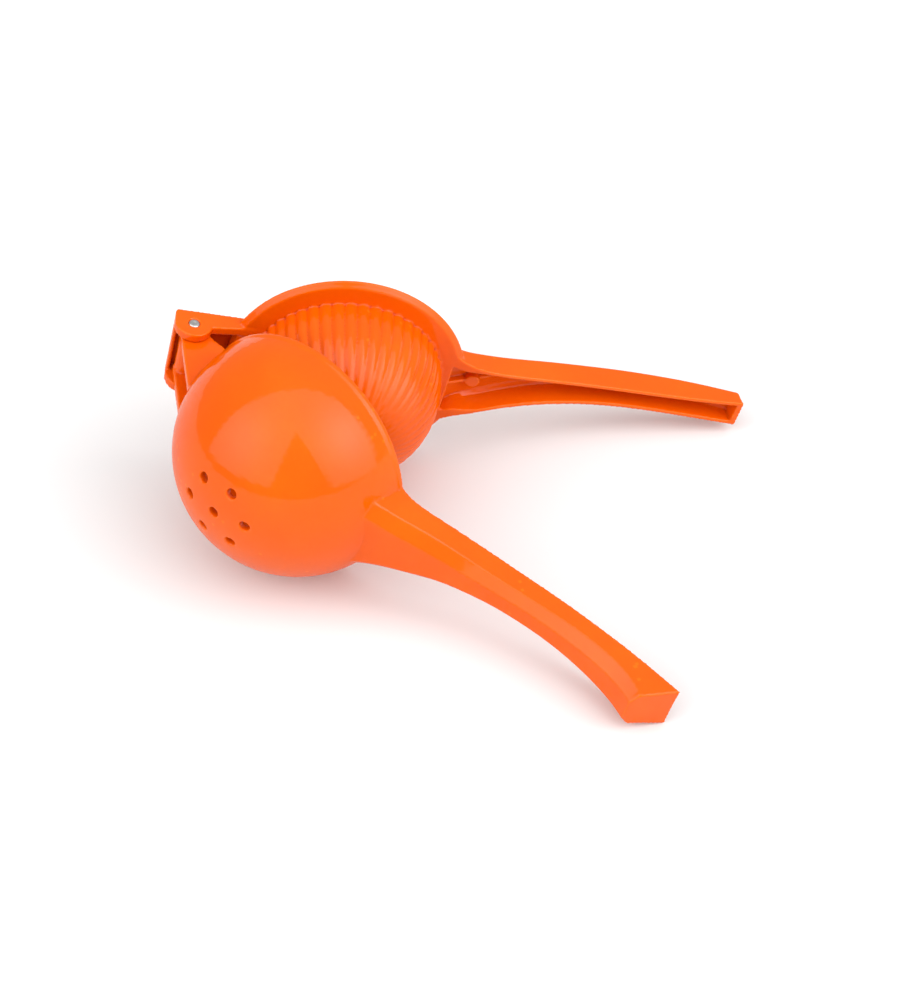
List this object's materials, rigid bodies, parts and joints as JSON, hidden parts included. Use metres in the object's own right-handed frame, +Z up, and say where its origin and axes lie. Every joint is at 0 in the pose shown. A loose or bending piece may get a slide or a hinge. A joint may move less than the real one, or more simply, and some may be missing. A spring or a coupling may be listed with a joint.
{
  "type": "hinged lemon squeezer",
  "caption": "Hinged hand squeezer for lemons: a strainer bowl with drain holes on one lever arm and a fluted press dome on the other, joined by a steel pin.",
  "frame": {"origin": "on the surface that the squeezer lies on, under the middle of its outer box, with the arms open as at rest", "axes": "+X from the hinge towards the handle ends along the middle of the two arms, +Y from the bowl arm towards the press arm, +Z up"},
  "size_m": [0.204, 0.1582, 0.0845],
  "materials": {
    "enamel": "glossy orange enamel on a die casting",
    "pin_steel": "bright drawn steel"
  },
  "bodies": {
    "bowl_arm": {"bowl_arm": "enamel"},
    "press_arm": {"press_arm": "enamel", "hinge_pin": "pin_steel"}
  },
  "joints": [
    {"name": "arms_hinge", "type": "hinge", "parent": "bowl_arm", "child": "press_arm", "pos_m": [-0.09098, -0.00603, 0.05417], "axis": [0.238, 0.0134, 0.9712], "range_deg": [-40, 49]}
  ]
}
